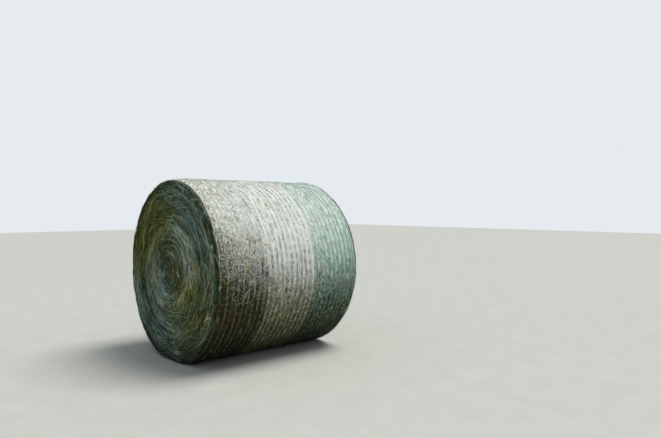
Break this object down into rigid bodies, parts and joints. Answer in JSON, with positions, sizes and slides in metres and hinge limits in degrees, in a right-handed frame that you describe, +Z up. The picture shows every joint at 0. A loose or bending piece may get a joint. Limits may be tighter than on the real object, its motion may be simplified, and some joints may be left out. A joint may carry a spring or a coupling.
{
  "type": "round hay bale",
  "caption": "Round hay bale on its side: a mat of hay rolled round a tight core, with a settled flat underside, bound in knitted net with pale, white and teal bands.",
  "frame": {"origin": "middle of the settled flat underside, half way between the end faces", "axes": "+Y along the rolling axis from the near end face to the far one, +Z up, +X across"},
  "size_m": [1.6896, 1.565, 1.6498],
  "materials": {
    "hay": "dry stems, matt",
    "net_pale": "knitted tape, slightly glossy",
    "net_white": "knitted tape, slightly glossy",
    "net_teal": "knitted tape, slightly glossy"
  },
  "bodies": {
    "root": {"core": "hay", "lap_01": "hay", "lap_02": "hay", "lap_03": "hay", "lap_04": "hay", "lap_05": "hay", "lap_06": "hay", "lap_07": "hay", "lap_08": "hay", "lap_09": "hay", "lap_10": "hay", "lap_11": "hay", "lap_12": "hay", "lap_13": "hay", "lap_14": "hay", "lap_15": "hay", "tail_lap": "hay", "net_pale": "net_pale", "net_white": "net_white", "net_teal": "net_teal"}
  },
  "joints": []
}
